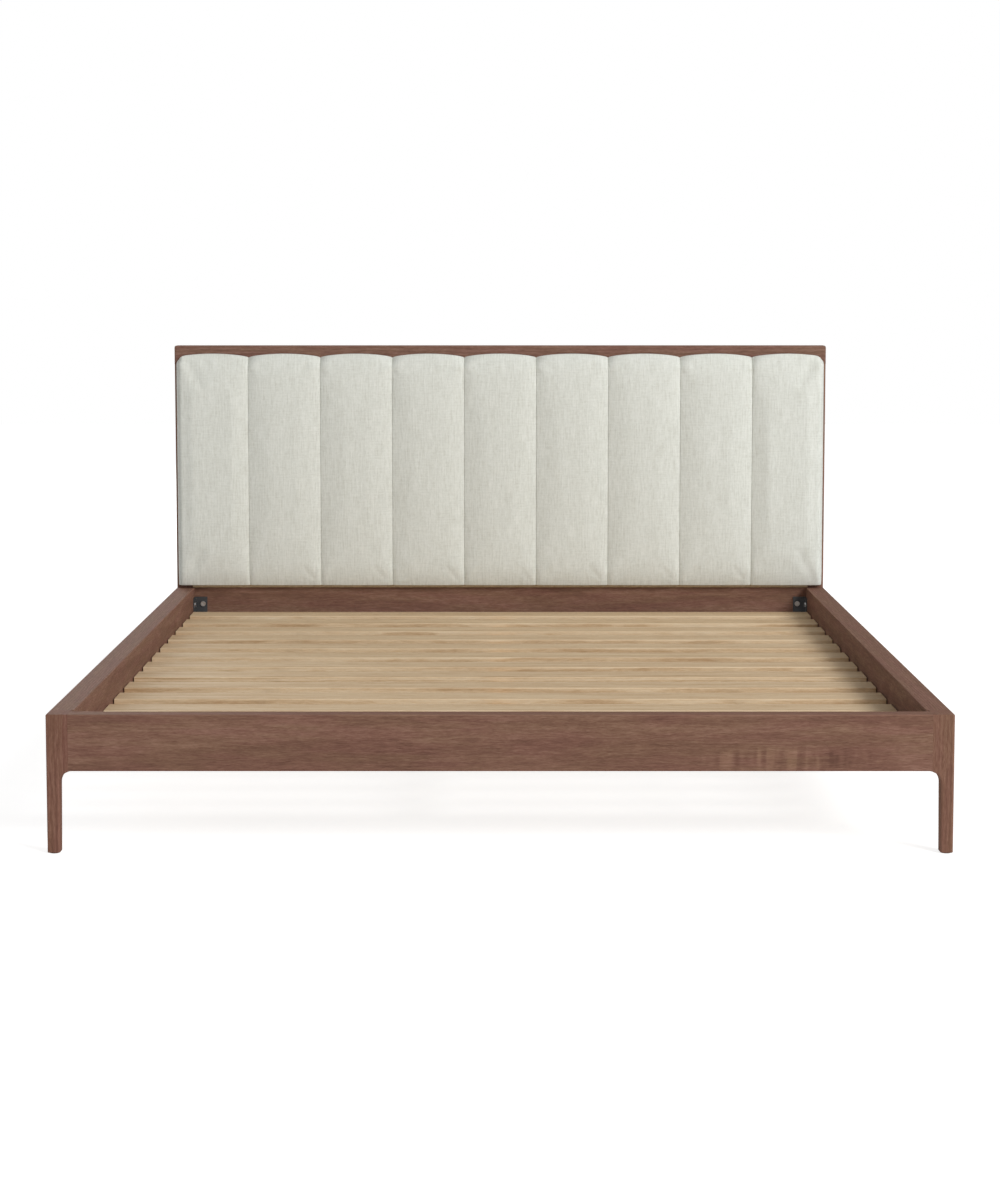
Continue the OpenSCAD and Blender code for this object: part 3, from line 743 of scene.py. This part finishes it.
def rolled(run, bends):
    """Share of the depth at a run from an outer edge. bends are the reach and fall of each bend."""
    return 1 - sum(fall * max(0.0, 1 - run / reach) ** 2 for reach, fall in bends)


def bunched(q):
    """Spreads steps from -1 to 1 with finer ones near both ends."""
    return (1 - BUNCHING) * q + BUNCHING * math.sin(math.pi / 2 * q)


def pad_mesh(name, index):
    """Closed pad from a lattice of nearly square cells. Returns it and its free front points."""
    low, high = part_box(name)
    size = high - low
    middle = (low.x + high.x) / 2
    counts = [max(4, round(size[k] / PAD_SPACING)) for k in range(3)]
    counts[1] = PAD_WALL_STEPS
    points, lookup, weave = [], {}, []
    corner_side = -1 if index == 0 else 1 if index == len(PADS) - 1 else 0

    def place(i, j, k):
        s = bunched(2 * i / counts[0] - 1)
        w = (bunched(2 * k / counts[2] - 1) + 1) / 2
        x, z = s * (size.x / 2 + PAD_PRESS), w * size.z
        roll = rolled((1 - w) * size.z, ROLL_TOP) * rolled(w * size.z, ROLL_FOOT)
        outward = s * corner_side > 0
        arch = ARCH * s * s
        if outward:
            roll *= rolled(size.x / 2 - abs(x), ROLL_SIDE)
            depth = across(s * OUTER_FLAT) * roll
        else:
            roll *= rolled((1 - w) * size.z, [(PINCH[0], PINCH[1] * abs(s) ** PINCH_POWER)])
            depth = across(s) * roll
            arch += ARCH_CORNER * s ** CORNER_POWER
        depth *= size.y * (1 - j / counts[1])
        z -= arch * w ** ARCH_POWER
        if outward:
            beyond_x = abs(x) - (size.x / 2 - CORNER_R)
            beyond_z = w * size.z - (size.z - CORNER_R)
            if beyond_x > 0 and beyond_z > 0:
                reach = max(beyond_x, beyond_z) / math.hypot(beyond_x, beyond_z)
                x = corner_side * (size.x / 2 - CORNER_R + beyond_x * reach)
                z -= beyond_z * (1 - reach)
        return Vector((middle + x, high.y - depth, low.z + z * (1 - PAD_TOP_SLACK / size.z)))

    def point(i, j, k):
        key = (i, j, k)
        if key not in lookup:
            lookup[key] = len(points)
            p = place(i, j, k)
            points.append(p)
            turned = j / counts[1] * SEAM_SHARE * size.y
            weave.append((
                p.x * WEAVE_SPREAD + (turned if i == counts[0] else -turned if i == 0 else 0.0),
                p.z + (turned if k == counts[2] else -turned if k == 0 else 0.0),
                0.0,
            ))
        return lookup[key]

    faces = []
    for axis in range(3):
        a, b = [m for m in range(3) if m != axis]
        for end in (0, counts[axis]):
            for m in range(counts[a]):
                for n in range(counts[b]):
                    quad = []
                    for da, db in ((0, 0), (1, 0), (1, 1), (0, 1)):
                        cell = [0, 0, 0]
                        cell[axis], cell[a], cell[b] = end, m + da, n + db
                        quad.append(point(*cell))
                    faces.append(quad)
    front = {(i, k): v for (i, j, k), v in lookup.items() if j == 0}
    free = [v for (i, k), v in front.items() if 0 < i < counts[0] and 0 < k < counts[2]]
    rim = set(front.values()) - set(free)
    mesh = bpy.data.meshes.new(name + "_cover")
    mesh.from_pydata(points, [], faces)
    layer = mesh.attributes.new("weave", "FLOAT_VECTOR", "POINT")
    layer.data.foreach_set("vector", [c for v in weave for c in v])
    work = bmesh.new()
    work.from_mesh(mesh)
    bmesh.ops.recalc_face_normals(work, faces=work.faces)
    soften(work, 180)
    crease = work.edges.layers.float.new("crease_edge")
    for edge in work.edges:
        if edge.verts[0].index in rim and edge.verts[1].index in rim:
            edge[crease] = SEAM_CREASE
    work.to_mesh(mesh)
    work.free()
    return mesh, free


def add_cloth(piece, free):
    """Puffs the front by pressure, with the seams and the back held."""
    held = piece.vertex_groups.new(name="held")
    held.add(sorted(set(range(len(piece.data.vertices))) - set(free)), 1.0, "REPLACE")
    cloth = piece.modifiers.new("puff", "CLOTH")
    use = cloth.settings
    use.use_pressure = True
    use.uniform_pressure_force = PUFF_PRESSURE
    use.vertex_group_mass = "held"
    use.quality = 5
    use.mass = 0.25
    use.tension_stiffness = 25
    use.compression_stiffness = 25
    use.shear_stiffness = 10
    use.bending_stiffness = 2.5
    use.effector_weights.gravity = 0.0
    cloth.point_cache.frame_start = 1
    cloth.point_cache.frame_end = SIM_FRAMES


def settle(piece, name, rest, moved):
    """Keeps the swollen pad inside its own place and gives it small uneven rolls."""
    low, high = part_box(name)
    seed = Vector((0.0, 0.0, 3.7 * (PADS.index(name) + 1)))
    for vertex, start, end in zip(piece.data.vertices, rest, moved):
        step = end - start
        if name in (PADS[0], PADS[-1]):
            run = start.x - low.x if name == PADS[0] else high.x - start.x
            step *= math.sin(math.pi / 2 * min(max(run / SIDE_EASE, 0.0), 1.0))
        if step.length > SIM_CAP:
            step *= SIM_CAP / step.length
        p = start + step
        share = (high.y - p.y) / (high.y - low.y)
        proud = max(0.0, share - SEAM_SHARE) / (CROWN_SHARE - SEAM_SHARE)
        spot = Vector((p.x * UNEVEN_SCALE[0], 0.0, p.z * UNEVEN_SCALE[1])) + seed
        p.y -= noise.noise(spot) * UNEVEN * proud
        p.y = max(p.y, low.y)
        vertex.co = p


def make_pads():
    """Builds all pads, puffs them together and gives each its final form."""
    covers = []
    for index, name in enumerate(PADS):
        mesh, free = pad_mesh(name, index)
        piece = bpy.data.objects.new(name + "_cover", mesh)
        register(piece, FABRIC, [name])
        add_cloth(piece, free)
        covers.append(piece)
    rest = [[v.co.copy() for v in piece.data.vertices] for piece in covers]
    moved = rest
    scene = bpy.context.scene
    for number in range(1, SIM_FRAMES + 1):
        scene.frame_set(number)
    graph = bpy.context.evaluated_depsgraph_get()
    moved = []
    for piece in covers:
        mesh = piece.evaluated_get(graph).to_mesh()
        moved.append([v.co.copy() for v in mesh.vertices])
        piece.evaluated_get(graph).to_mesh_clear()
    for piece in covers:
        piece.modifiers.clear()
        piece.vertex_groups.clear()
    scene.frame_set(1)
    for piece, name, before, after in zip(covers, PADS, rest, moved):
        settle(piece, name, before, after)
        fine = piece.modifiers.new("fine", "SUBSURF")
        fine.levels = fine.render_levels = 1


make_pads()

# ---------------------------------------------------------------- deck and support

SLAT_WOOD = timber("slat_poplar", "x", 40, PALE, ring=9 * MM, pores=0.12, rough=(0.55, 0.68),
                   weights=(0.4, 0.5, 0.45, 0.25))
SLATS = sorted(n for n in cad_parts
               if n.startswith("slat_") and not n.startswith("slat_strap"))
for n in SLATS:
    board(n + "_planed", *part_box(n), "x", SLAT_WOOD, "slat_wood", [n], radius=3 * MM, end=1.2 * MM)

PINE_LOOK = {
    "ring": 5 * MM, "pores": 0.05, "rough": (0.58, 0.7), "weights": (0.7, 0.35, 0.4, 0.25),
}
PINE_Y = timber("pine_along", "y", 50, PINE, **PINE_LOOK)
PINE_Z = timber("pine_upright", "z", 53, PINE, **PINE_LOOK)
for n in ("ledger_left", "ledger_right", "centre_beam"):
    board(n + "_planed", *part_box(n), "y", PINE_Y, "softwood", [n], radius=2 * MM, end=1 * MM)
for n in ("centre_leg_1", "centre_leg_2"):
    board(n + "_planed", *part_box(n), "z", PINE_Z, "softwood", [n], radius=3 * MM, end=1.5 * MM)

STRAP_SAG = 1.2 * MM
SAG_STEPS = 6
STAPLE_W, STAPLE_D, STAPLE_PROUD = 12 * MM, 1.2 * MM, 0.7 * MM
STAPLE_SUNK = 0.4 * MM


def strap(side):
    """Webbing that runs under the slats, sags a little between them and has a staple on each."""
    name = "slat_strap_" + side
    low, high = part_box(name)
    slats = sorted((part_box(n)[0].y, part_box(n)[1].y) for n in SLATS)
    stations = [(low.y, 0.0)]
    for (_, start), (stop, _) in zip(slats, slats[1:]):
        for k in range(SAG_STEPS + 1):
            y = start + (stop - start) * k / SAG_STEPS
            stations.append((y, STRAP_SAG * math.sin(math.pi * k / SAG_STEPS) ** 2))
    stations.append((high.y, 0.0))
    tape = Maker()
    tape.loft([
        section(y, (low.x, low.z - sag), (high.x, high.z - sag), [0.3 * MM] * 4, steps=2)
        for y, sag in stations
    ], AXES["y"])
    piece = tape.build(name + "_tape", TAPE, [name])
    staples = Maker()
    middle = (low.x + high.x) / 2
    for start, stop in slats:
        y = (start + stop) / 2
        under = (y - STAPLE_D / 2, low.z - STAPLE_PROUD)
        over = (y + STAPLE_D / 2, low.z + STAPLE_SUNK)
        staples.loft([
            section(middle + x, under, over, [0.5 * MM, 0.1 * MM, 0.1 * MM, 0.5 * MM], steps=2)
            for x in (-STAPLE_W / 2, STAPLE_W / 2)
        ], AXES["x"])
    staples.build(name + "_staples", STEEL)


def paint(nodes, material):
    """Gives CAD pieces that stay one material."""
    for n in nodes:
        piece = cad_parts[n]
        piece.data.materials.clear()
        piece.data.materials.append(material)


def starting(*words):
    """Names of the nodes that begin with one of the words."""
    return [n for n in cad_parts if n.startswith(words)]


def ease(nodes, width):
    """Small bevel on the hard edges of CAD pieces that stay."""
    for n in nodes:
        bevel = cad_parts[n].modifiers.new("eased", "BEVEL")
        bevel.width = width
        bevel.segments = 2
        bevel.limit_method = "ANGLE"
        bevel.angle_limit = math.radians(40)


strap("left")
strap("right")
paint(starting("bracket_", "beam_hanger"), COATED)
paint(starting("levelling_foot", "leg_inserts", "corner_bolts", "hanger_screws",
               "ledger_screws", "back_panel_screws"), STEEL)
paint(starting("glide_"), NYLON)
paint(["head_core_panel"], PLY)
paint(["head_battens"], PINE_Z)
paint(["head_back_panel"], walnut("walnut_back_panel", "x", 61, heart=(0.02, -0.4), ring=11 * MM))
paint(["dowels"], PINE_Y)
ease(starting("bracket_", "beam_hanger"), 0.5 * MM)
ease(["corner_bolts", "back_panel_screws", "hanger_screws"], 0.4 * MM)

# ---------------------------------------------------------------- floor, light and camera

GLOW_NEAR = (2.0, 0.79)  # distance from the middle, and how bright the floor glows there
GLOW_FAR = (5.0, 0.87)
FLOOR_REACH = 14.0
WORLD_LIGHT = 0.30


def seen(tree):
    """1 where the camera, a reflection or a view through something looks, 0 for other light."""
    path = add(tree, "LightPath").outputs
    direct = math_node(tree, "MAXIMUM", path["Is Camera Ray"], path["Is Glossy Ray"])
    return math_node(tree, "MAXIMUM", direct, path["Is Transmission Ray"])


def floor_material():
    """Pale floor: white to the camera where nothing shades it, with a soft shadow kept."""
    material = bpy.data.materials.new("pale_floor")
    material.use_nodes = True
    tree = material.node_tree
    tree.nodes.clear()
    looked_at = seen(tree)
    shade = add(tree, "BsdfDiffuse", {"Color": mix(tree, looked_at, (0.8,) * 3, (0.5,) * 3)})
    place = add(tree, "TexCoord").outputs["Object"]
    away = add(tree, "VectorMath", {0: place}, operation="LENGTH").outputs["Value"]
    glow = add(tree, "MapRange", {
        "Value": away, "From Min": GLOW_NEAR[0], "From Max": GLOW_FAR[0],
        "To Min": GLOW_NEAR[1], "To Max": GLOW_FAR[1],
    }).outputs[0]
    glow = math_node(tree, "MULTIPLY", looked_at, glow)
    glow = add(tree, "Emission", {"Color": (1, 1, 1, 1), "Strength": glow})
    both = add(tree, "AddShader", {0: shade.outputs[0], 1: glow.outputs[0]})
    output = tree.nodes.new("ShaderNodeOutputMaterial")
    tree.links.new(both.outputs[0], output.inputs["Surface"])
    return material


def make_floor():
    mesh = bpy.data.meshes.new("floor")
    r = FLOOR_REACH
    mesh.from_pydata([(-r, -r, 0), (r, -r, 0), (r, r, 0), (-r, r, 0)], [], [(0, 1, 2, 3)])
    floor = bpy.data.objects.new("floor", mesh)
    bpy.context.scene.collection.objects.link(floor)
    mesh.materials.append(floor_material())


def make_world():
    """Even light from all around, white to the camera."""
    world = bpy.data.worlds.new("studio")
    bpy.context.scene.world = world
    world.use_nodes = True
    tree = world.node_tree
    tree.nodes.clear()
    soft = add(tree, "Background", {"Color": (1, 1, 1, 1), "Strength": WORLD_LIGHT})
    white = add(tree, "Background", {"Color": (1, 1, 1, 1), "Strength": 1.0})
    both = add(tree, "MixShader", {0: seen(tree), 1: soft.outputs[0], 2: white.outputs[0]})
    output = tree.nodes.new("ShaderNodeOutputWorld")
    tree.links.new(both.outputs[0], output.inputs["Surface"])


def area_light(name, place, target, size, watts):
    """Lamp that only lights: the camera doesn't see it."""
    data = bpy.data.lights.new(name, "AREA")
    data.shape = "RECTANGLE"
    data.size, data.size_y = size
    data.energy = watts
    lamp = bpy.data.objects.new(name, data)
    lamp.location = place
    ahead = Vector(target) - Vector(place)
    lamp.rotation_euler = ahead.to_track_quat("-Z", "Y").to_euler()
    lamp.visible_camera = False
    bpy.context.scene.collection.objects.link(lamp)


# the photo's camera, solved from the bed's edges: a small tilt, and the rest of its drop by shift
LENS = 68.913  # in mm, as is the sensor
SENSOR_W = 36
SHIFT_Y = -0.1127
CAMERA_ASIDE = -0.0006
CAMERA_BACK = 5.1332  # from the front posts' faces
CAMERA_UP = 1.3096
CAMERA_TILT = 4.7  # degrees below level


def make_camera():
    data = bpy.data.cameras.new("camera")
    data.lens = LENS
    data.sensor_width = SENSOR_W
    data.shift_y = SHIFT_Y
    camera = bpy.data.objects.new("camera", data)
    camera.location = (CAMERA_ASIDE, FOOT_Y - CAMERA_BACK, CAMERA_UP)
    camera.rotation_euler = (math.radians(90 - CAMERA_TILT), 0, 0)
    bpy.context.scene.collection.objects.link(camera)
    bpy.context.scene.camera = camera


make_floor()
make_world()
for lamp in (
    # name, place, target, size in metres, watts
    ("key", (7.2, -7.3, 6.3), (0.0, 0.2, 0.5), (4.2, 4.2), 1065),
    ("fill", (-4.6, -5.6, 0.9), (0.4, -0.8, 0.3), (3.0, 1.5), 60),
    ("back_fill", (-4.5, 8.0, 2.2), (0.0, 0.5, 0.5), (4.0, 3.0), 300),
):
    area_light(*lamp)
make_camera()
bpy.context.scene.view_settings.view_transform = "Standard"
